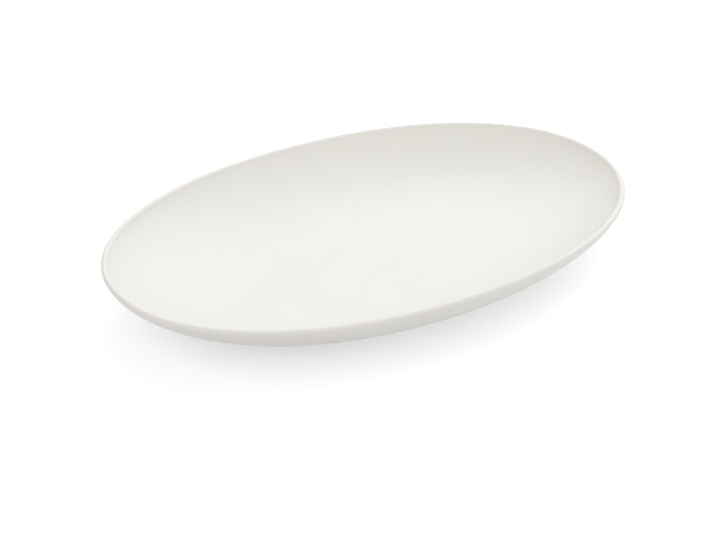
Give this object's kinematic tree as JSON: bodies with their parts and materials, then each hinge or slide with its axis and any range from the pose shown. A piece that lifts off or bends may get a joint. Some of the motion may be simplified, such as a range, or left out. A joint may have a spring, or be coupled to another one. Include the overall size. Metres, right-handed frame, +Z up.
{
  "type": "serving plate",
  "caption": "Oval coupe serving plate in glazed white stoneware, with a flat well, a curved wall, a rounded lip and a low foot ring to stand on.",
  "frame": {"origin": "centre of the foot ring's standing plane, where the plate rests on a table", "axes": "+X along the plate's long axis, +Y along its short axis, +Z up out of the well"},
  "size_m": [0.32, 0.203, 0.0365],
  "materials": {
    "bare_clay": "fired, unglazed and matt",
    "white_glaze": "warm white satin glaze",
    "base_white_glaze": "warm white satin glaze"
  },
  "bodies": {
    "root": {"clay_body": "bare_clay", "glaze_coat": "white_glaze", "base_glaze": "base_white_glaze"}
  },
  "joints": []
}
